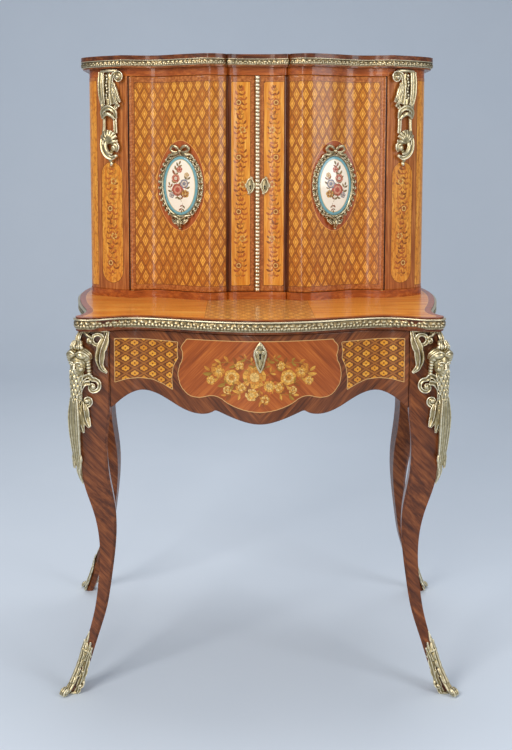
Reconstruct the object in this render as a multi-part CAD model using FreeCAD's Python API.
import FreeCAD, Part
import math
import os
from FreeCAD import Vector

os.makedirs("parts", exist_ok=True)

# Bonheur du jour: a small writing table on four cabriole legs, with one full-width frieze drawer,
# and a serpentine two-door cabinet that stands on the back half of its top. Millimetres, +Z up,
# -Y is the front, X = 0 is the plane of symmetry, and the feet stand on Z = 0.

# ---------------------------------------------------------------- driving dimensions: the table
WRITING_HEIGHT = 725.0      # top of the writing surface
TABLE_FRONT_Y = -270.0      # foremost point of the table's edge, at the centre of the front
TABLE_DEPTH = 519.0         # front centre to back edge
TABLE_HALF_WIDTH = 384.0    # widest point of the swelling sides
TOP_THICK = 26.0
BAND_THICK = 4.5            # bronze edge band, how far it stands out from the wood
BAND_HEIGHT = 19.0
BAND_DROP = 3.0             # wood edge that shows above the band
TOP_OVERHANG = 14.0         # from the band to the drawer front below it

# ---------------------------------------------------------------- legs and frieze
LEG_TOP = 50.0              # side of the square block at the top of a leg
LEG_CHAMFER = 5.0
LEG_CANT = 0.7              # how far a leg leans towards front or back, per unit sideways
FRONT_LEG_INSET = 53.0      # from the widest point of the table to the outer corner of a front leg's block
BACK_LEG_INSET = 16.0
FRONT_LEG_Y = -210.0
BACK_LEG_Y = 230.9
APRON_THICK = 20.0
APRON_SETBACK = 8.0         # back apron's face behind the back legs' corners
APRON_ARCH_INSET = 8.0      # straight edge left at each end of a side apron's arch
APRON_END_DROP = 139.0      # depth of the side aprons beside the legs
APRON_ARCH_DROP = 107.0     # depth of the side aprons at the middle
BACK_APRON_DROP = 109.0
CORNER_BLOCK = (34.0, 60.0) # legs and height of the glued corner blocks
TENON_LENGTH = 18.0
TENON_THICK = 9.0
TENON_SHOULDER = 12.0       # apron left above and below a tenon
RAIL_THICK = 17.0           # front rail and runners, in height
RAIL_DROP = 93.0            # top of the front rail and runners below the table top
RAIL_WIDTH = 26.0
RAIL_CLEAR = 1.5            # front rail behind the drawer front
RAIL_SHOULDER = 4.0         # rail left above and below its tenons
RUNNER_WIDTH = 34.0
GUIDE_HEIGHT = 40.0
KICKER_THICK = 7.0
KICKER_WIDTH = 34.0
KICKER_LAP = 8.0            # kicker over the guide
KICKER_START = 30.0         # kicker's front end behind the front rail
STOP_SIZE = (20.0, 13.7, 15.0)
STOP_INSET = 20.0           # stop in from the drawer guide

# ---------------------------------------------------------------- drawer
DRAWER_GAP = 1.0            # beside and above the drawer front
SLIDE_GAP = 0.3             # drawer side to guide, and drawer side to runner
DRAWER_FRONT_THICK = 22.0
DRAWER_SIDE_THICK = 10.0
DRAWER_HEIGHT = 82.0
DRAWER_BACK_Y = 165.0
DRAWER_BOTTOM_THICK = 6.0
DRAWER_BOTTOM_RISE = 7.0    # underside of the bottom above the lower edge of the sides
DRAWER_BOTTOM_LET_IN = 4.0  # how far the bottom runs into the sides' grooves
DRAWER_BACK_LOWER = 6.0     # top of the back below the top of the sides
DRAWER_SIDE_INSET = 25.0    # from a front leg's block to the outer face of a drawer side
# Depth of the drawer front's lower edge below the table top, from the leg to the centre.
FRIEZE_END_DROP = 149.0
FRIEZE_ARCH_DROP = 115.5
FRIEZE_LOBE_DROP = 150.0
FRIEZE_CUSP_DROP = 143.0
FRIEZE_CENTRE_DROP = 168.0
ESCUTCHEON_DROP = 43.5      # middle of the drawer's escutcheon below the table top
ESCUTCHEON_HALF = (11.3, 28.0)
KEYHOLE_R = 2.6
LOCK_HALF = 20.0            # half width of the drawer lock's case
LOCK_DEPTH = 17.5
LOCK_HEIGHT = 36.0
LOCK_SETBACK = 5.0          # case behind the front's face
KEY_DROP = 30.0             # middle of the keyhole below the top of the drawer front
CASE_PLAY = 0.2             # bolt in its case, all round
BOLT_SUNK = 0.3             # withdrawn bolt below the edge that it shoots from
BOLT_REST = 10.3            # withdrawn drawer bolt's lower end above the bottom of its case

# ---------------------------------------------------------------- cabinet
CABINET_HEIGHT = 502.0      # writing surface to the top of the cornice
CABINET_HALF_WIDTH = 356.0
CABINET_FRONT_Y = -4.0      # foremost swell of the doors
CABINET_DEPTH = 243.0       # foremost swell to the back
BOARD_THICK = 16.0          # base and ceiling boards
CORNICE_HEIGHT = 25.0
CORNICE_PROUD = 17.0        # bronze cornice band, out from the doors
CORNICE_CORE_PROUD = 12.5
CORNICE_LIP = 9.0           # height of the wood bull-nose above the band
CORNICE_BAND_HEIGHT = 13.0
SIDE_THICK = 16.0
BACK_THICK = 8.0
SHELF_THICK = 12.0
SHELF_RISE = 221.0          # compartment floor to the shelf's underside
SHELF_GAP = 4.0             # shelf to the backs of the doors
BEARER = 12.0               # square section of the shelf bearers
STILE_DEPTH = 24.0

# ---------------------------------------------------------------- doors
DOOR_THICK = 18.0
DOOR_GAP = 1.0              # above and below a door
PIVOT_SHORT = 5.0           # pivot axis short of the door's hinge line
PIVOT_INSET = 5.7           # pivot axis behind the door's face, and in from its edge
EDGE_GAP = 0.6              # door edge to stile, and door to door
MEETING_X = -5.5            # the doors meet at the left edge of the astragal
ASTRAGAL_WIDTH = 10.0
ASTRAGAL_PROUD = 6.0
PIN_R = 2.0
SLIP = 0.05                 # radial clearance of a pin or rod in its bore
PIN_LENGTH = 9.0
LEAF_THICK = 2.5
LEAF_LENGTH = 30.0
LEAF_WIDTH = 11.0
PLAQUE_INSET = 105.0        # middle of a plaque from the pivot axis
PLAQUE_DROP = 2.5           # middle of a plaque below the middle of the door
PLAQUE_HALF = (41.0, 61.0)
FRAME_BORDER = 11.5
PLAQUE_PROUD = 3.0
FRAME_PROUD = 6.0
SHIELD_HALF = (8.0, 17.0)   # door escutcheons
SHIELD_THICK = 1.6
SHIELD_X = 15.0
DOOR_KEY = (13.0, 4.0)      # door keyholes beside the middle of the front and below the middle of a plaque
DOOR_KEYHOLE_R = 2.2
DOOR_LOCK_X = (8.0, 46.0)
DOOR_LOCK_HALF_HEIGHT = 25.0
DOOR_LOCK_DEPTH = 5.0       # case in front of the middle of the door's thickness
DOOR_BOLT_HALF = (2.5, 7.0)
DOOR_BOLT_THROW = 6.0
DOOR_BOLT_LENGTH = 40.9
ROD_X = -24.0               # upright bolt of the left door
ROD_SETBACK = 1.0           # behind the middle of the door's thickness
ROD_R = 2.5
ROD_LENGTH = 70.0

# ---------------------------------------------------------------- worked-out levels
TOP_UNDER = WRITING_HEIGHT - TOP_THICK
APRON_END_Z = TOP_UNDER - APRON_END_DROP
APRON_ARCH_Z = TOP_UNDER - APRON_ARCH_DROP
BACK_APRON_Z = TOP_UNDER - BACK_APRON_DROP
RAIL_TOP_Z = TOP_UNDER - RAIL_DROP
FRONT_LEG_X = TABLE_HALF_WIDTH - FRONT_LEG_INSET
BACK_LEG_X = TABLE_HALF_WIDTH - BACK_LEG_INSET
INNER_X = FRONT_LEG_X - LEG_TOP                         # inner faces of the front legs' blocks
DRAWER_HALF = INNER_X - DRAWER_SIDE_INSET               # outer faces of the drawer sides
FRONT_HALF = INNER_X - DRAWER_GAP
TABLE_BACK_Y = TABLE_FRONT_Y + TABLE_DEPTH
CABINET_BACK_Y = CABINET_FRONT_Y + CABINET_DEPTH
CABINET_TOP = WRITING_HEIGHT + CABINET_HEIGHT
BASE_TOP = WRITING_HEIGHT + BOARD_THICK
CEILING_TOP = CABINET_TOP - CORNICE_HEIGHT
CEILING_UNDER = CEILING_TOP - BOARD_THICK
DOOR_LOW = BASE_TOP + DOOR_GAP
DOOR_HIGH = CEILING_UNDER - DOOR_GAP
PLAQUE_Z = (DOOR_LOW + DOOR_HIGH) / 2 - PLAQUE_DROP

# ---------------------------------------------------------------- plan curves
ARC_TOLERANCE = 0.3         # how closely arcs follow the smooth curve through an outline's points
# Right-hand halves, as (share of the half width, distance behind the foremost point).
TABLE_FRONT = [(0.0, 0.0), (0.13, 4.5), (0.26, 16.5), (0.37, 31.5), (0.487, 49.0),
               (0.604, 59.0), (0.72, 48.5), (0.816, 33.5), (0.875, 38.0), (0.905, 59.0)]
TABLE_SIDE = [(0.905, 59.0), (0.878, 84.0), (0.874, 118.0), (0.915, 185.0), (0.968, 275.0),
              (0.998, 365.0), (0.999, 430.0), (0.978, 497.0)]
TABLE_CORNER = 12.0         # how far the back corner is cut in along the back edge
# Cabinet front from the centre to a groove, and from the groove to the hinge line.
DOOR_INNER = [(0.0, 21.5), (0.045, 21.5), (0.09, 20.3), (0.122, 17.5), (0.146, 13.5), (0.162, 15.0),
              (0.171, 19.0)]
DOOR_OUTER = [(0.171, 19.0), (0.184, 11.0), (0.213, 4.7), (0.267, 0.0), (0.331, 5.0), (0.393, 15.0),
              (0.458, 27.0), (0.505, 37.0), (0.55, 44.0), (0.604, 47.0), (0.67, 44.5), (0.75, 39.5)]
STILE_FACE = [(0.75, 39.5), (0.85, 57.0), (0.94, 77.5), (0.985, 95.0), (1.0, 111.0)]
PIVOT_X = DOOR_OUTER[-1][0] * CABINET_HALF_WIDTH - PIVOT_SHORT
PIVOT_Y = CABINET_FRONT_Y + DOOR_OUTER[-1][1] + PIVOT_INSET
DOOR_EDGE_X = PIVOT_X + PIVOT_INSET
STILE_X = DOOR_EDGE_X + EDGE_GAP
PLAQUE_X = PIVOT_X - PLAQUE_INSET


def spread(stations, half_width, front_y):
    """Stations of a half outline as real points."""
    return [Vector(share * half_width, front_y + behind, 0) for share, behind in stations]


def mirror_x(points):
    return [Vector(-point.x, point.y, point.z) for point in points]


def curve(points):
    """One smooth edge through the points, or a straight one through two."""
    if len(points) == 2:
        return Part.makeLine(points[0], points[1])
    spline = Part.BSplineCurve()
    spline.interpolate(points)
    return spline.toShape()


def outline(*runs):
    """A closed wire through the given runs of points, each run smooth and laid out in tangent arcs."""
    edges = []
    for run in runs:
        if len(run) == 2:
            edges.append(Part.makeLine(run[0], run[1]))
        else:
            spline = Part.BSplineCurve()
            spline.interpolate(run)
            edges += [arc.toShape() for arc in spline.toBiArcs(ARC_TOLERANCE)]
    return Part.Wire(Part.__sortEdges__(edges))


def plate(wire, low, high):
    """A flat plate between two heights with the given plan outline."""
    solid = Part.Face(wire).extrude(Vector(0, 0, high - low))
    solid.translate(Vector(0, 0, low))
    return solid


def box(x0, x1, y0, y1, z0, z1):
    corner = Vector(min(x0, x1), min(y0, y1), min(z0, z1))
    return Part.makeBox(abs(x1 - x0), abs(y1 - y0), abs(z1 - z0), corner)


def rod(x, y, z0, z1, radius):
    return Part.makeCylinder(radius, z1 - z0, Vector(x, y, z0))


def export(node, shape):
    shape.exportStep("parts/%s.step" % node)


def mirrored(shape):
    """The same piece on the other side of X = 0."""
    return shape.mirror(Vector(0, 0, 0), Vector(1, 0, 0))


def export_pair(name, right):
    """A right-hand piece and its mirror image."""
    export("right_" + name, right)
    export("left_" + name, mirrored(right))


# ---------------------------------------------------------------- whole outlines
def whole_run(half):
    """A run across X = 0 from its right half, which starts at X = 0."""
    return list(reversed(mirror_x(half)))[:-1] + half


def grown(shape_points, back_y, half_width, depth, proud):
    """Points moved out from the middle of the back edge by about the given amount."""
    wide = (half_width + proud) / half_width
    deep = (depth + proud) / depth
    return [Vector(p.x * wide, back_y + (p.y - back_y) * deep, 0) for p in shape_points]


def table_outline(proud):
    """Plan outline of the table top, at the given distance outside its wood core."""
    def placed(stations):
        points = spread(stations, TABLE_HALF_WIDTH, TABLE_FRONT_Y)
        return grown(points, TABLE_BACK_Y, TABLE_HALF_WIDTH, TABLE_DEPTH, proud - BAND_THICK)
    half = placed(TABLE_FRONT)
    side = placed(TABLE_SIDE)
    corner = [side[-1], Vector(side[-1].x - TABLE_CORNER, TABLE_BACK_Y, 0)]
    back = [corner[1], Vector(-corner[1].x, TABLE_BACK_Y, 0)]
    return outline(whole_run(half), side, mirror_x(side), corner, mirror_x(corner), back)


def cabinet_outline(proud):
    """Plan outline of the cabinet: two swelling doors, canted stiles, straight sides and back."""
    def placed(stations):
        points = spread(stations, CABINET_HALF_WIDTH, CABINET_FRONT_Y)
        return grown(points, CABINET_BACK_Y, CABINET_HALF_WIDTH, CABINET_DEPTH, proud)
    inner = placed(DOOR_INNER)
    runs = [placed(DOOR_OUTER), placed(STILE_FACE)]
    corner = Vector(runs[-1][-1].x, CABINET_BACK_Y, 0)
    runs.append([runs[-1][-1], corner])
    back = [corner, Vector(-corner.x, corner.y, 0)]
    return outline(whole_run(inner), back, *runs, *[mirror_x(run) for run in runs])


# ---------------------------------------------------------------- table top and its band
DRAWER_FACE_Y = TABLE_FRONT_Y + TOP_OVERHANG            # drawer front's face at the centre
FRONT_HOLLOW = max(behind for share, behind in TABLE_FRONT[:-1])   # depth of the hollows in the front
BOLT_Y = DRAWER_FACE_Y + DRAWER_FRONT_THICK / 2
BOLT_SIZE = (14.0, 5.0)
BOLT_THROW = 6.0
BOLT_PLAY = 0.4


def make_top():
    core = plate(table_outline(0.0), TOP_UNDER, WRITING_HEIGHT)
    mortise = box(-BOLT_SIZE[0] / 2 - BOLT_PLAY, BOLT_SIZE[0] / 2 + BOLT_PLAY,
                  BOLT_Y - BOLT_SIZE[1] / 2 - BOLT_PLAY, BOLT_Y + BOLT_SIZE[1] / 2 + BOLT_PLAY,
                  TOP_UNDER - 1.0, TOP_UNDER + BOLT_THROW + 2.0)
    export("table_top", core.cut(mortise))
    high = WRITING_HEIGHT - BAND_DROP
    low = high - BAND_HEIGHT
    blank = plate(table_outline(BAND_THICK), low, high)
    behind = box(-TABLE_HALF_WIDTH, TABLE_HALF_WIDTH, TABLE_BACK_Y - 0.5, TABLE_BACK_Y + 20.0,
                 low - 1.0, high + 1.0)
    export("table_edge_band", blank.cut(core).cut(behind))
    return core


# ---------------------------------------------------------------- cabriole legs
# (share of the leg's height, how far the outer corner stands out sideways, side of the section)
LEG_SHAPE = [(1.0, 0.0, LEG_TOP + 0.5), (0.923, 3.5, LEG_TOP + 6.0), (0.844, 6.5, LEG_TOP + 9.0),
             (0.78, 8.0, LEG_TOP + 9.0), (0.715, 8.0, LEG_TOP + 4.0), (0.651, 6.0, LEG_TOP + 0.5),
             (0.581, 1.0, 50.0), (0.506, -13.0, 43.5), (0.438, -22.5, 35.0), (0.358, -25.0, 27.5),
             (0.29, -21.5, 24.5), (0.22, -15.0, 22.5), (0.143, -1.5, 19.5), (0.074, 12.0, 18.0),
             (0.0, 31.0, 18.5)]
LEG_STATIONS = [(share * TOP_UNDER, out, side) for share, out, side in LEG_SHAPE]
BLOCK_DEPTH = 179.0         # how far down the faces towards the aprons are planed flat


def leg_points(index, corners):
    """A section of a front leg in its own frame: origin at the block's outer corner, x and y inwards."""
    height, out, side = LEG_STATIONS[index]
    return [Vector(x - out, y - out * LEG_CANT, height) for x, y in corners(height, side)]


def long_solid(sections):
    """A solid through level sections of equal corner count, its long edges smooth through the corners."""
    count = len(sections[0])
    rails = [curve([section[i] for section in sections]) for i in range(count)]
    faces = [Part.makeRuledSurface(rails[i], rails[(i + 1) % count]) for i in range(count)]
    for section in (sections[0], sections[-1]):
        faces.append(Part.Face(Part.makePolygon(section + [section[0]])))
    shell = Part.makeShell(faces)
    shell.sewShape()
    solid = Part.Solid(shell)
    if solid.Volume < 0:
        solid.reverse()
    return solid


def leg_at(height):
    """How far the leg's outer corner stands out at a height and its side there, between two stations."""
    for (z1, out1, side1), (z0, out0, side0) in zip(LEG_STATIONS, LEG_STATIONS[1:]):
        if z0 <= height <= z1:
            share = (height - z0) / (z1 - z0)
            return out0 + share * (out1 - out0), side0 + share * (side1 - side0)
    return LEG_STATIONS[0][1:]


def leg_section(height, side):
    chamfer = min(LEG_CHAMFER, side / 4)
    heel = side * 0.9
    return [(0, 0), (side - chamfer, 0), (side, chamfer), (heel, heel), (chamfer, side), (0, side - chamfer)]


def leg_blank(corners):
    return long_solid([leg_points(i, corners) for i in range(len(LEG_STATIONS))])


def to_corner(shape, corner_x, corner_y, front):
    """A piece in a leg's frame moved to a right-hand corner: x runs inwards, y towards the middle."""
    flipped = shape.mirror(Vector(0, 0, 0), Vector(1, 0, 0))
    if not front:
        flipped = flipped.mirror(Vector(0, 0, 0), Vector(0, 1, 0))
    flipped.translate(Vector(corner_x, corner_y, 0))
    return flipped


SABOT_THICK = 2.2
SABOT_TOP = 112.0
SABOT_FALL = 2.6            # fall of the sabot's upper edge per unit away from the arris
TOE_REACH = 46.5            # scroll's front beyond the block's outer corner
TOE_R = 8.5
TOE_HALF = 8.0


def sabot_blank():
    """The lowest stretch of a leg grown by the bronze's thickness on its two outer faces."""
    sections = []
    for height in (SABOT_TOP + 10.0, 80.0, 52.0, 0.0):
        out, side = leg_at(height)
        width = side - min(LEG_CHAMFER, side / 4) - 1.5
        corners = [(-SABOT_THICK, -SABOT_THICK), (width, -SABOT_THICK), (width, 3.0), (3.0, width),
                   (-SABOT_THICK, width)]
        sections.append([Vector(x - out, y - out * LEG_CANT, height) for x, y in corners])
    return long_solid(sections)


def toe():
    """The sabot's toe: it sweeps forward along the floor and rolls up into a scroll."""
    length = math.hypot(1.0, LEG_CANT)
    reach = TOE_REACH * length
    foot = (LEG_STATIONS[-1][1] - 9.0) * length
    centre = reach - TOE_R
    lip = Vector(centre - 0.8 * TOE_R, 0, 1.6 * TOE_R)
    heel = Vector(foot, 0, 44.0)
    profile = Part.Wire([
        Part.makeLine(Vector(foot, 0, 0), Vector(centre, 0, 0)),
        Part.Arc(Vector(centre, 0, 0), Vector(centre + TOE_R, 0, TOE_R), lip).toShape(),
        Part.Arc(lip, Vector(centre - 1.5 * TOE_R, 0, 2.6 * TOE_R), heel).toShape(),
        Part.makeLine(heel, Vector(foot, 0, 0))])
    whole = Part.Face(profile).extrude(Vector(0, 2 * TOE_HALF, 0))
    whole.translate(Vector(0, -TOE_HALF, 0))
    whole.rotate(Vector(0, 0, 0), Vector(0, 0, 1), 180.0 + math.degrees(math.atan(LEG_CANT)))
    return whole


def make_legs():
    block_low = TOP_UNDER - BLOCK_DEPTH
    planed = [Part.makeBox(60, 200, BLOCK_DEPTH + 2, Vector(LEG_TOP, -100, block_low)),
              Part.makeBox(200, 60, BLOCK_DEPTH + 2, Vector(-100, LEG_TOP, block_low))]
    leg = leg_blank(leg_section).cut(planed)
    arris = LEG_STATIONS[-2]
    reach = 80.0
    rim = [Vector(-reach, 0, -1), Vector(-reach, 0, SABOT_TOP + SABOT_FALL * reach),
           Vector(reach, 0, SABOT_TOP - SABOT_FALL * reach + 40.0), Vector(reach, 0, -1)]
    slope = Part.Face(Part.makePolygon(rim + [rim[0]])).extrude(Vector(0, 200, 0))
    slope.translate(Vector(0, -100, 0))
    slope.rotate(Vector(0, 0, 0), Vector(0, 0, 1), 45.0)
    slope.translate(Vector(-arris[1] / 2, -arris[1] * LEG_CANT / 2, 0))
    sabot = sabot_blank().common(slope).fuse(toe()).cut(leg)
    corners = {"front": (FRONT_LEG_X, FRONT_LEG_Y, True), "back": (BACK_LEG_X, BACK_LEG_Y, False)}
    placed = {}
    for place, (x, y, front) in corners.items():
        placed[place] = to_corner(leg, x, y, front)
        export_pair("%s_sabot" % place, to_corner(sabot, x, y, front))
    return leg, placed


# ---------------------------------------------------------------- aprons, rail and runners
SIDE_APRON = [(FRONT_LEG_X - 14.0, FRONT_LEG_Y + LEG_TOP), (FRONT_LEG_X + 14.0, FRONT_LEG_Y + LEG_TOP + 90.0),
              (BACK_LEG_X - 8.0, (FRONT_LEG_Y + BACK_LEG_Y) / 2 + 60.0),
              (BACK_LEG_X - 10.0, BACK_LEG_Y - LEG_TOP)]


TENON_CHEEK = (APRON_THICK - TENON_THICK) / 2


def side_tenon(y, inward, x_outer):
    """A tenon of a side apron: y is the shoulder, inward is the way into the leg."""
    return box(x_outer - APRON_THICK + TENON_CHEEK, x_outer - TENON_CHEEK,
               y, y + inward * TENON_LENGTH, APRON_END_Z + TENON_SHOULDER, TOP_UNDER - TENON_SHOULDER)


def make_frame(legs):
    outer = [Vector(x, y, 0) for x, y in SIDE_APRON]
    inner = [Vector(p.x - APRON_THICK, p.y, 0) for p in outer]
    apron = plate(outline(outer, inner, [outer[0], inner[0]], [outer[-1], inner[-1]]), APRON_END_Z, TOP_UNDER)
    arch_start = Vector(0, outer[0].y + APRON_ARCH_INSET, APRON_END_Z)
    arch_middle = Vector(0, (outer[0].y + outer[-1].y) / 2, APRON_ARCH_Z)
    arch_end = Vector(0, outer[-1].y - APRON_ARCH_INSET, APRON_END_Z)
    arch = Part.Face(Part.Wire([Part.Arc(arch_start, arch_middle, arch_end).toShape(),
                                Part.makeLine(arch_end, arch_start)]))
    apron = apron.cut(arch.extrude(Vector(TABLE_HALF_WIDTH, 0, 0)))
    front_tenon = side_tenon(outer[0].y, -1, outer[0].x)
    back_tenon = side_tenon(outer[-1].y, 1, outer[-1].x)
    export_pair("side_apron", apron.fuse([front_tenon, back_tenon]))

    back_x = BACK_LEG_X - LEG_TOP
    back_outer = BACK_LEG_Y - APRON_SETBACK
    back = box(-back_x, back_x, back_outer - APRON_THICK, back_outer, BACK_APRON_Z, TOP_UNDER)
    tenons = [box(sign * back_x, sign * (back_x + TENON_LENGTH), back_outer - APRON_THICK + TENON_CHEEK,
                  back_outer - TENON_CHEEK,
                  BACK_APRON_Z + TENON_SHOULDER, TOP_UNDER - TENON_SHOULDER) for sign in (-1, 1)]
    export("back_apron", back.fuse(tenons))

    rail_front = DRAWER_FACE_Y + FRONT_HOLLOW + DRAWER_FRONT_THICK + RAIL_CLEAR
    rail_y = rail_front + RAIL_WIDTH
    rail_low = RAIL_TOP_Z - RAIL_THICK
    rail = box(-INNER_X, INNER_X, rail_front, rail_y, rail_low, RAIL_TOP_Z)
    rail_tenons = [box(sign * INNER_X, sign * (INNER_X + TENON_LENGTH),
                       rail_front + RAIL_SHOULDER / 2, FRONT_LEG_Y + LEG_TOP - RAIL_SHOULDER,
                       rail_low + RAIL_SHOULDER, RAIL_TOP_Z - RAIL_SHOULDER) for sign in (-1, 1)]
    export("front_rail", rail.fuse(rail_tenons))

    guide_x = DRAWER_HALF + SLIDE_GAP
    runner = box(guide_x - RUNNER_WIDTH / 2, guide_x + RUNNER_WIDTH / 2, rail_y, back_outer - APRON_THICK,
                 rail_low, RAIL_TOP_Z)
    export_pair("drawer_runner", runner)
    guide = box(guide_x, guide_x + RUNNER_WIDTH / 2, rail_y, back_outer - APRON_THICK,
                RAIL_TOP_Z, RAIL_TOP_Z + GUIDE_HEIGHT)
    export("drawer_guides", Part.makeCompound([guide, mirrored(guide)]))
    kicker = box(guide_x - KICKER_WIDTH + KICKER_LAP, guide_x + KICKER_LAP, rail_y + KICKER_START,
                 back_outer - APRON_THICK, TOP_UNDER - KICKER_THICK, TOP_UNDER)
    export("drawer_kickers", Part.makeCompound([kicker, mirrored(kicker)]))
    stop_x = guide_x - STOP_INSET
    stop_y = DRAWER_BACK_Y + SLIDE_GAP
    stop_z = TOP_UNDER - KICKER_THICK
    stops = [box(sign * (stop_x - STOP_SIZE[0]), sign * stop_x, stop_y, stop_y + STOP_SIZE[1],
                 stop_z - STOP_SIZE[2], stop_z) for sign in (-1, 1)]
    export("drawer_stops", Part.makeCompound(stops))

    mortises = {"front": [front_tenon, rail_tenons[1]], "back": [back_tenon, tenons[1]]}
    for place, leg in legs.items():
        export_pair("%s_leg" % place, leg.cut(mortises[place]))
    blocks = []
    for sign in (-1, 1):
        x = sign * back_x
        y = back_outer - APRON_THICK
        leg, height = CORNER_BLOCK
        rim = [Vector(x, y, 0), Vector(x - sign * leg, y, 0), Vector(x, y - leg, 0)]
        corner = Part.Face(Part.makePolygon(rim + [rim[0]])).extrude(Vector(0, 0, height))
        corner.translate(Vector(0, 0, TOP_UNDER - height))
        blocks.append(corner)
    export("back_corner_blocks", Part.makeCompound(blocks))


# ---------------------------------------------------------------- drawer
def serpentine_slab(setback, thick, half, low, high):
    """A slab with the table's front curve on its face and its back, between two heights."""
    whole = whole_run(spread(TABLE_FRONT, TABLE_HALF_WIDTH, TABLE_FRONT_Y))
    face = [Vector(p.x, p.y + setback, 0) for p in whole]
    back = [Vector(p.x, p.y + setback + thick, 0) for p in whole]
    slab = plate(outline(face, back, [face[0], back[0]], [face[-1], back[-1]]), low, high)
    return slab.common(box(-half, half, TABLE_FRONT_Y - 10, TABLE_BACK_Y, low - 1, high + 1))


def frieze_outline(half, high):
    """Elevation of the drawer front, its lower edge in arches, lobes and a centre drop."""
    def at(share, drop):
        return Vector(share * half, 0, TOP_UNDER - drop)
    right = [at(1.0, FRIEZE_END_DROP), at(0.895, FRIEZE_ARCH_DROP + 10.5), at(0.785, FRIEZE_ARCH_DROP),
             at(0.62, FRIEZE_ARCH_DROP + 13.5), at(0.46, FRIEZE_LOBE_DROP), at(0.355, FRIEZE_LOBE_DROP + 2.0),
             at(0.29, FRIEZE_CUSP_DROP)]
    drop = [at(0.0, FRIEZE_CENTRE_DROP), at(0.17, FRIEZE_CENTRE_DROP - 11.0), right[-1]]
    end = [right[0], Vector(half, 0, high)]
    top = [end[1], Vector(-half, 0, high)]
    return Part.Face(outline(whole_run(drop), right, mirror_x(right), end, mirror_x(end), top))


def make_drawer():
    top = TOP_UNDER - 2 * DRAWER_GAP
    slab = serpentine_slab(TOP_OVERHANG, DRAWER_FRONT_THICK, FRONT_HALF, TOP_UNDER - 200.0, top)
    elevation = frieze_outline(FRONT_HALF, top).extrude(Vector(0, 400.0, 0))
    elevation.translate(Vector(0, TABLE_FRONT_Y - 10.0, 0))
    front = slab.common(elevation)

    low = RAIL_TOP_Z + SLIDE_GAP
    high = low + DRAWER_HEIGHT
    inside = DRAWER_HALF - DRAWER_SIDE_THICK
    behind = serpentine_slab(TOP_OVERHANG + DRAWER_FRONT_THICK, 400.0, DRAWER_HALF, low, high)
    side = behind.common(box(inside, DRAWER_HALF, TABLE_FRONT_Y, DRAWER_BACK_Y, low, high))
    groove_low = low + DRAWER_BOTTOM_RISE
    groove_high = groove_low + DRAWER_BOTTOM_THICK
    bottom_half = inside + DRAWER_BOTTOM_LET_IN
    bottom = behind.common(box(-bottom_half, bottom_half, TABLE_FRONT_Y, DRAWER_BACK_Y - DRAWER_SIDE_THICK,
                               groove_low, groove_high))
    export_pair("drawer_side", side.cut(bottom))
    export("drawer_bottom", bottom)
    back = box(-inside, inside, DRAWER_BACK_Y - DRAWER_SIDE_THICK, DRAWER_BACK_Y, groove_low,
               high - DRAWER_BACK_LOWER)
    export("drawer_back", back)

    case_y = DRAWER_FACE_Y + LOCK_SETBACK
    case = box(-LOCK_HALF, LOCK_HALF, case_y, case_y + LOCK_DEPTH, top - LOCK_HEIGHT, top)
    bolt_half = Vector(BOLT_SIZE[0] / 2, BOLT_SIZE[1] / 2, 0)
    bolt_low = top - LOCK_HEIGHT + BOLT_REST
    bolt_hole = box(-bolt_half.x - CASE_PLAY, bolt_half.x + CASE_PLAY, BOLT_Y - bolt_half.y - CASE_PLAY,
                    BOLT_Y + bolt_half.y + CASE_PLAY, bolt_low - BOLT_SUNK, top + 1.0)
    key_entry = Vector(0, DRAWER_FACE_Y - 10.0, top - KEY_DROP)
    keyway = Part.makeCylinder(KEYHOLE_R, 40.0, key_entry, Vector(0, 1, 0))
    bolt = box(-bolt_half.x, bolt_half.x, BOLT_Y - bolt_half.y, BOLT_Y + bolt_half.y,
               bolt_low, top - BOLT_SUNK)
    export("drawer_front", front.cut(case).cut(keyway))
    export("drawer_lock_case", case.cut(bolt_hole).cut(keyway))
    export("drawer_lock_bolt", bolt)

    half_w, half_h = ESCUTCHEON_HALF
    z_mid = TOP_UNDER - ESCUTCHEON_DROP
    kite = [Vector(0, 0, z_mid - half_h), Vector(6.5, 0, z_mid - 16.0), Vector(half_w, 0, z_mid + 8.0),
            Vector(7.0, 0, z_mid + 20.0), Vector(0, 0, z_mid + half_h)]
    shield = Part.Face(outline(kite, mirror_x(kite))).extrude(Vector(0, 12.0, 0))
    shield.translate(Vector(0, DRAWER_FACE_Y - 2.0, 0))
    export("drawer_escutcheon", shield.cut(slab).cut(keyway))


# ---------------------------------------------------------------- leg mounts
# (depth below the table top, spread along each face from the arris, how proud)
MOUNT_SHAPE = [(2.0, LEG_TOP - 10.0, 6.0), (59.0, 30.0, 9.0), (94.0, 31.0, 12.0), (139.0, 36.0, 9.0),
               (184.0, 22.0, 9.0), (229.0, 12.0, 6.0), (284.0, 3.0, 2.5)]
# (radius, depth below the table top) of the bust's head, from neck to crown
HEAD_SHAPE = [(11.0, 92.0), (10.5, 76.0), (17.0, 67.0), (20.0, 55.0), (19.0, 42.0), (13.0, 30.0), (6.0, 23.0)]
HEAD_OUT = (5.0, 13.0)      # head's axis outside the leg's arris, sideways and forwards


def turned_head():
    profile = [Vector(radius, 0, TOP_UNDER - drop) for radius, drop in HEAD_SHAPE]
    closing = [Vector(0, 0, profile[-1].z), Vector(0, 0, profile[0].z), profile[0]]
    head = Part.Face(Part.makePolygon(profile + closing)).revolve(Vector(0, 0, 0), Vector(0, 0, 1), 360)
    head.translate(Vector(-HEAD_OUT[0], -HEAD_OUT[1], 0))
    return head


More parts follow.
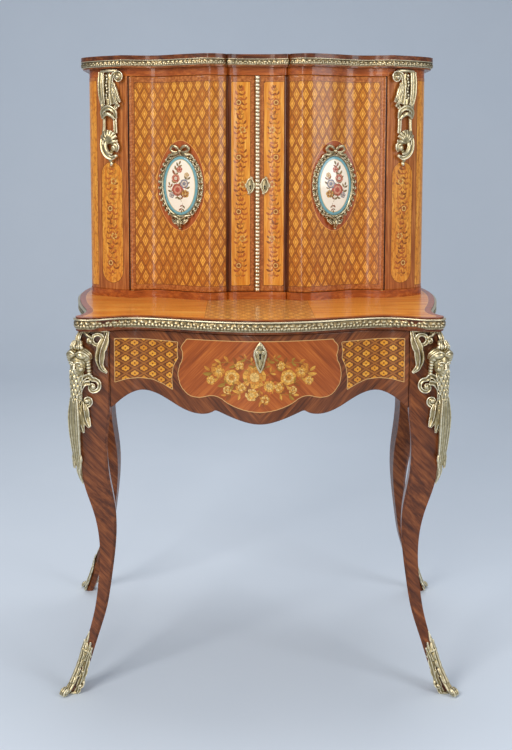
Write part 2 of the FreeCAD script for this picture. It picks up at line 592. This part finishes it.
def make_leg_mounts(leg):
    """A bronze bust on each front leg's knee, its chest running out in a husk down the arris."""
    sections = []
    for drop, width, proud in MOUNT_SHAPE:
        height = TOP_UNDER - drop
        out = leg_at(height)[0]
        flat = [(-proud, -proud), (width * 0.6, -proud), (width, 2.0), (2.0, width), (-proud, width * 0.6)]
        sections.append([Vector(x - out, y - out * LEG_CANT, height) for x, y in flat])
    mount = long_solid(sections).fuse(turned_head()).cut(leg)
    export_pair("leg_mount", to_corner(mount, FRONT_LEG_X, FRONT_LEG_Y, True))


# ---------------------------------------------------------------- cabinet carcass
def cabinet_points(stations):
    return spread(stations, CABINET_HALF_WIDTH, CABINET_FRONT_Y)


def make_carcass(fittings):
    base = plate(cabinet_outline(1.0), WRITING_HEIGHT, BASE_TOP)
    ceiling = plate(cabinet_outline(0.0), CEILING_UNDER, CEILING_TOP)
    export("cabinet_base", base.cut(fittings["base_cuts"]))
    export("cabinet_ceiling", ceiling.cut(fittings["ceiling_cuts"]))

    lip_low = CABINET_TOP - CORNICE_LIP
    core = plate(cabinet_outline(CORNICE_CORE_PROUD), CEILING_TOP, lip_low)
    lip = plate(cabinet_outline(CORNICE_PROUD - 1.0), lip_low, CABINET_TOP)
    export("cornice", core.fuse(lip))
    band_low = lip_low - CORNICE_BAND_HEIGHT
    band = plate(cabinet_outline(CORNICE_PROUD), band_low, lip_low).cut(core)
    behind = box(-TABLE_HALF_WIDTH, TABLE_HALF_WIDTH, CABINET_BACK_Y - 0.5, CABINET_BACK_Y + 30.0,
                 band_low - 1, lip_low + 1)
    export("cornice_band", band.cut(behind))

    face = cabinet_points(STILE_FACE)
    side_front = face[-1].y
    inside_x = CABINET_HALF_WIDTH - SIDE_THICK
    stile_back = face[0].y + STILE_DEPTH
    corners = [Vector(STILE_X, face[0].y - 20.0, 0), Vector(CABINET_HALF_WIDTH + 20.0, face[0].y - 20.0, 0),
               Vector(CABINET_HALF_WIDTH + 20.0, side_front, 0), Vector(inside_x, side_front, 0),
               Vector(inside_x - 14.0, side_front - 8.0, 0), Vector(STILE_X, stile_back, 0)]
    block = plate(Part.makePolygon(corners + [corners[0]]), BASE_TOP, CEILING_UNDER)
    export_pair("cabinet_stile", block.common(plate(cabinet_outline(0.0), BASE_TOP, CEILING_UNDER)))

    panel_back = CABINET_BACK_Y - BACK_THICK
    export_pair("cabinet_side", box(inside_x, CABINET_HALF_WIDTH, side_front, panel_back,
                                    BASE_TOP, CEILING_UNDER))
    export("cabinet_back", box(-CABINET_HALF_WIDTH, CABINET_HALF_WIDTH, panel_back, CABINET_BACK_Y,
                               BASE_TOP, CEILING_UNDER))

    shelf_low = BASE_TOP + SHELF_RISE
    front = door_back_points(SHELF_GAP)
    beside = Vector(front[-1].x, stile_back + 2.0, 0)
    corner = Vector(inside_x, side_front + 2.0, 0)
    back_corner = Vector(inside_x, panel_back, 0)
    runs = [[front[-1], beside], [beside, corner], [corner, back_corner]]
    back = [back_corner, Vector(-inside_x, panel_back, 0)]
    wire = outline(whole_run(front), back, *runs, *[mirror_x(run) for run in runs])
    export("cabinet_shelf", plate(wire, shelf_low, shelf_low + SHELF_THICK))
    bearer = box(inside_x - BEARER, inside_x, side_front + 6.0, panel_back, shelf_low - BEARER, shelf_low)
    export("shelf_bearers", Part.makeCompound([bearer, mirrored(bearer)]))


# ---------------------------------------------------------------- doors
def door_back_points(gap):
    """Plan points of the doors' backs, smooth across the groove, moved back by a gap. Starts at x = 0."""
    kept = [DOOR_INNER[0], DOOR_INNER[2]] + DOOR_OUTER[3:-1]
    shallow = [(share, behind if share > 0.12 else 19.0) for share, behind in kept]
    points = cabinet_points(shallow)
    end = Vector(DOOR_EDGE_X - 0.01, PIVOT_Y - PIVOT_INSET, 0)
    points.append(end)
    return [Vector(p.x, p.y + DOOR_THICK + gap, 0) for p in points]


def door_blank(low, high):
    """The right-hand door from x = 0 to its rounded outer edge, its back smooth across the groove."""
    inner = cabinet_points(DOOR_INNER)
    outer = cabinet_points(DOOR_OUTER)
    outer[-1] = Vector(PIVOT_X, PIVOT_Y - PIVOT_INSET, 0)
    back = door_back_points(0.0)
    edge_front = Vector(DOOR_EDGE_X, PIVOT_Y, 0)
    edge_back = Vector(DOOR_EDGE_X, back[-1].y, 0)
    back[-1] = edge_back
    turn = [Vector(PIVOT_X + PIVOT_INSET * math.sin(math.radians(angle)),
                   PIVOT_Y - PIVOT_INSET * math.cos(math.radians(angle)), 0) for angle in range(0, 91, 15)]
    return plate(outline(inner, outer, turn, [edge_front, edge_back], back, [back[0], inner[0]]), low, high)


def meeting_strip(x0, x1, low, high):
    """The flat stretch of door beside the centre line, between two x values."""
    face = CABINET_FRONT_Y + DOOR_INNER[0][1]
    return box(x0, x1, face, door_back_points(0.0)[0].y, low, high)


LEAF_NOSE = 4.0             # leaf round the pin, beyond and in front of the axis
LEAF_SETBACK = 9.0          # how far the leaf's far end lies behind its nose, as the door's face does


def pivot_plate(z0, z1):
    near, far = PIVOT_X + LEAF_NOSE, PIVOT_X + LEAF_NOSE - LEAF_LENGTH
    front = PIVOT_Y - LEAF_NOSE
    corners = [Vector(near, front, 0), Vector(near, front + LEAF_WIDTH, 0),
               Vector(far, front + LEAF_SETBACK + LEAF_WIDTH, 0), Vector(far, front + LEAF_SETBACK, 0)]
    return plate(Part.makePolygon(corners + [corners[0]]), z0, z1)


def make_pivots():
    """Knife pivots: fixed plates with pins in the carcass, and leaves with bores in the doors' ends."""
    fixed = {}
    leaves = {}
    collar = 0.9
    for place, board_face, way in (("lower", BASE_TOP, 1), ("upper", CEILING_UNDER, -1)):
        z_in = board_face - way * LEAF_THICK
        fixed_plate = pivot_plate(min(z_in, board_face), max(z_in, board_face))
        pin_end = board_face + way * PIN_LENGTH
        pin = rod(PIVOT_X, PIVOT_Y, min(z_in, pin_end), max(z_in, pin_end), PIN_R)
        collar_end = board_face + way * collar
        fixed[place] = fixed_plate.fuse(pin)
        if place == "lower":
            fixed[place] = fixed[place].fuse(rod(PIVOT_X, PIVOT_Y, board_face, collar_end, PIN_R + 2.0))
        door_face = board_face + way * DOOR_GAP
        leaf_end = door_face + way * LEAF_THICK
        leaf = pivot_plate(min(door_face, leaf_end), max(door_face, leaf_end))
        bore = rod(PIVOT_X, PIVOT_Y, leaf.BoundBox.ZMin - 1, leaf.BoundBox.ZMax + 1, PIN_R + SLIP)
        leaves[place] = leaf.cut(bore)
    return fixed, leaves


def surface_frame(x):
    """Point and outward direction of the right door's face at x, from the chord across a plaque."""
    points = curve(cabinet_points(DOOR_OUTER))
    def on_face(at):
        line = Part.makeLine(Vector(at, -400, 0), Vector(at, 400, 0))
        return points.distToShape(line)[1][0][0]
    low = on_face(x - 40.0)
    high = on_face(x + 40.0)
    along = (high - low).normalize()
    outward = Vector(along.y, -along.x, 0)
    return on_face(x), along, outward


def oval(half_w, half_h, depth, proud, x, z):
    """An upright oval plate on the right door's face, from inside the door to the given height above it."""
    centre, along, outward = surface_frame(x)
    ellipse = Part.Ellipse(Vector(0, 0, 0), half_h, half_w).toShape()
    face = Part.Face(Part.Wire(ellipse))
    solid = face.extrude(Vector(0, 0, depth + proud))
    upright = FreeCAD.Matrix(0, -along.x, outward.x, 0, 0, -along.y, outward.y, 0, 1, 0, 0, 0, 0, 0, 0, 1)
    solid.transformShape(upright)
    solid.translate(centre - outward * depth + Vector(0, 0, z))
    return solid


def door_bolt_room(x0, x1, y, play):
    """The door lock's bolt between two x values, or the room round it."""
    half_y, half_z = DOOR_BOLT_HALF[0] + play, DOOR_BOLT_HALF[1] + play
    return box(x0, x1, y - half_y, y + half_y, PLAQUE_Z - half_z, PLAQUE_Z + half_z)


def make_doors():
    fixed, leaves = make_pivots()
    blank = door_blank(DOOR_LOW, DOOR_HIGH)
    pin_holes = [rod(PIVOT_X, PIVOT_Y, DOOR_LOW - 1, DOOR_LOW + PIN_LENGTH + 2.0, PIN_R + 0.6),
                 rod(PIVOT_X, PIVOT_Y, DOOR_HIGH - PIN_LENGTH - 2.0, DOOR_HIGH + 1, PIN_R + 0.6)]
    plates = [pivot_plate(DOOR_LOW - 1, DOOR_LOW + LEAF_THICK),
              pivot_plate(DOOR_HIGH - LEAF_THICK, DOOR_HIGH + 1)]
    hung = blank.cut(pin_holes + plates)
    right_edge = MEETING_X + EDGE_GAP / 2
    left_edge = MEETING_X - EDGE_GAP / 2
    right = hung.fuse(meeting_strip(right_edge, 0.0, DOOR_LOW, DOOR_HIGH)).removeSplitter()
    left = mirrored(hung).cut(box(left_edge, 1.0, -100.0, 200.0, DOOR_LOW - 1, DOOR_HIGH + 1))

    # lock in the right door: its bolt shoots through the meeting edge into the left door
    face = CABINET_FRONT_Y + DOOR_INNER[0][1]
    bolt_y = face + DOOR_THICK / 2
    bolt_x = right_edge + BOLT_SUNK
    case = box(*DOOR_LOCK_X, bolt_y - DOOR_LOCK_DEPTH, face + DOOR_THICK, PLAQUE_Z - DOOR_LOCK_HALF_HEIGHT,
               PLAQUE_Z + DOOR_LOCK_HALF_HEIGHT)
    bolt = door_bolt_room(bolt_x, bolt_x + DOOR_BOLT_LENGTH, bolt_y, 0.0)
    channel = door_bolt_room(right_edge - 1.0, bolt_x + DOOR_BOLT_LENGTH + BOLT_PLAY, bolt_y, CASE_PLAY)
    mortise = door_bolt_room(left_edge - DOOR_BOLT_THROW - 1.5, left_edge + 1.0, bolt_y, BOLT_PLAY)
    case = case.common(blank)
    keyhole_x, keyhole_drop = DOOR_KEY
    key_entry = Vector(keyhole_x, CABINET_FRONT_Y, PLAQUE_Z - keyhole_drop)
    keyway = Part.makeCylinder(DOOR_KEYHOLE_R, bolt_y - CABINET_FRONT_Y, key_entry, Vector(0, 1, 0))
    export("right_door", right.cut([case, channel, keyway]))
    export("door_lock_case", case.cut([channel, keyway]))
    export("door_lock_bolt", bolt)

    # upright bolt near the meeting edge of the left door, sliding up into the ceiling board
    rod_y = bolt_y + ROD_SETBACK
    rod_low = DOOR_HIGH - ROD_LENGTH
    rod_hole = rod(ROD_X, rod_y, rod_low - 10.0, DOOR_HIGH + 1.0, ROD_R + SLIP)
    export("left_door", left.cut([mortise, rod_hole]))
    export("left_door_bolt", rod(ROD_X, rod_y, rod_low, DOOR_HIGH - BOLT_SUNK, ROD_R))
    socket = rod(ROD_X, rod_y, CEILING_UNDER - 1.0, CEILING_UNDER + 10.0, ROD_R + BOLT_PLAY)

    pivots = list(fixed.values())
    export("door_pivots", Part.makeCompound(pivots + [mirrored(pivot) for pivot in pivots]))
    export_pair("door_leaves", Part.makeCompound(list(leaves.values())))

    astragal = box(right_edge, right_edge + ASTRAGAL_WIDTH, face - ASTRAGAL_PROUD + 3.0, face + 4.0,
                   DOOR_LOW, DOOR_HIGH)
    bead = Part.makeCylinder(ASTRAGAL_WIDTH / 2 - 1.0, DOOR_HIGH - DOOR_LOW,
                             Vector(right_edge + ASTRAGAL_WIDTH / 2, face - ASTRAGAL_PROUD + 4.0, DOOR_LOW))
    export("door_astragal", astragal.fuse(bead).cut(right))

    for hand, solid in (("right", right), ("left", left)):
        half_w, half_h = PLAQUE_HALF
        frame = oval(half_w + FRAME_BORDER, half_h + FRAME_BORDER, 9.0, FRAME_PROUD, PLAQUE_X, PLAQUE_Z)
        well = oval(half_w, half_h, 20.0, FRAME_PROUD + 1.0, PLAQUE_X, PLAQUE_Z)
        plaque = oval(half_w, half_h, 9.0, PLAQUE_PROUD, PLAQUE_X, PLAQUE_Z)
        frame = frame.cut(well).cut(blank)
        plaque = plaque.cut(blank)
        ellipse = Part.Ellipse(Vector(0, 0, 0), SHIELD_HALF[1], SHIELD_HALF[0]).toShape()
        shield = Part.Face(Part.Wire(ellipse)).extrude(Vector(0, 0, SHIELD_THICK))
        shield.transformShape(FreeCAD.Matrix(0, -1, 0, 0, 0, 0, -1, 0, 1, 0, 0, 0, 0, 0, 0, 1))
        shield.translate(Vector(SHIELD_X, face, PLAQUE_Z))
        shield = shield.cut([blank, keyway]).cut(astragal)
        if hand == "left":
            frame, plaque, shield = mirrored(frame), mirrored(plaque), mirrored(shield)
        export(hand + "_plaque_frame", frame)
        export(hand + "_plaque", plaque)
        export(hand + "_door_escutcheon", shield)

    base_cuts = [fixed["lower"], mirrored(fixed["lower"])]
    ceiling_cuts = [fixed["upper"], mirrored(fixed["upper"]), socket]
    return {"base_cuts": base_cuts, "ceiling_cuts": ceiling_cuts}


# ---------------------------------------------------------------- cabinet corner mounts
MOUNT_TOP = CEILING_TOP - 3.0
MOUNT_HEIGHT = 196.0
MOUNT_HALF = 27.0


def make_stile_mounts():
    """A bronze drop on each canted stile: a scroll bracket above a narrow strap and a leaf drop."""
    start, end = cabinet_points(STILE_FACE)[0], cabinet_points(STILE_FACE)[2]
    along = (end - start).normalize()
    outward = Vector(along.y, -along.x, 0)
    middle = start + (end - start) * 0.52
    edge = [Vector(0, 0, 0), Vector(22.0, -6.0, 0), Vector(MOUNT_HALF, -32.0, 0), Vector(15.0, -62.0, 0),
             Vector(12.0, -95.0, 0), Vector(21.0, -118.0, 0), Vector(20.0, -150.0, 0),
             Vector(10.0, -178.0, 0), Vector(0, -MOUNT_HEIGHT, 0)]
    solid = Part.Face(outline(edge, mirror_x(edge))).extrude(Vector(0, 0, 24.0))
    knob_top = Part.makeCone(19.0, 11.0, 12.0, Vector(0, -32.0, 20.0), Vector(0, 0, 1))
    knob_low = Part.makeCone(16.0, 9.0, 11.0, Vector(0, -134.0, 20.0), Vector(0, 0, 1))
    solid = solid.fuse([knob_top, knob_low])
    upright = FreeCAD.Matrix(along.x, 0, outward.x, 0, along.y, 0, outward.y, 0, 0, 1, 0, 0, 0, 0, 0, 1)
    solid.transformShape(upright)
    solid.translate(middle - outward * 17.0 + Vector(0, 0, MOUNT_TOP))
    seat = plate(cabinet_outline(0.0), MOUNT_TOP - MOUNT_HEIGHT - 1.0, CEILING_TOP)
    export_pair("cabinet_mount", solid.cut(seat))


leg_shape, leg_pairs = make_legs()
make_frame(leg_pairs)
make_top()
make_drawer()
make_leg_mounts(leg_shape)
door_fittings = make_doors()
make_carcass(door_fittings)
make_stile_mounts()
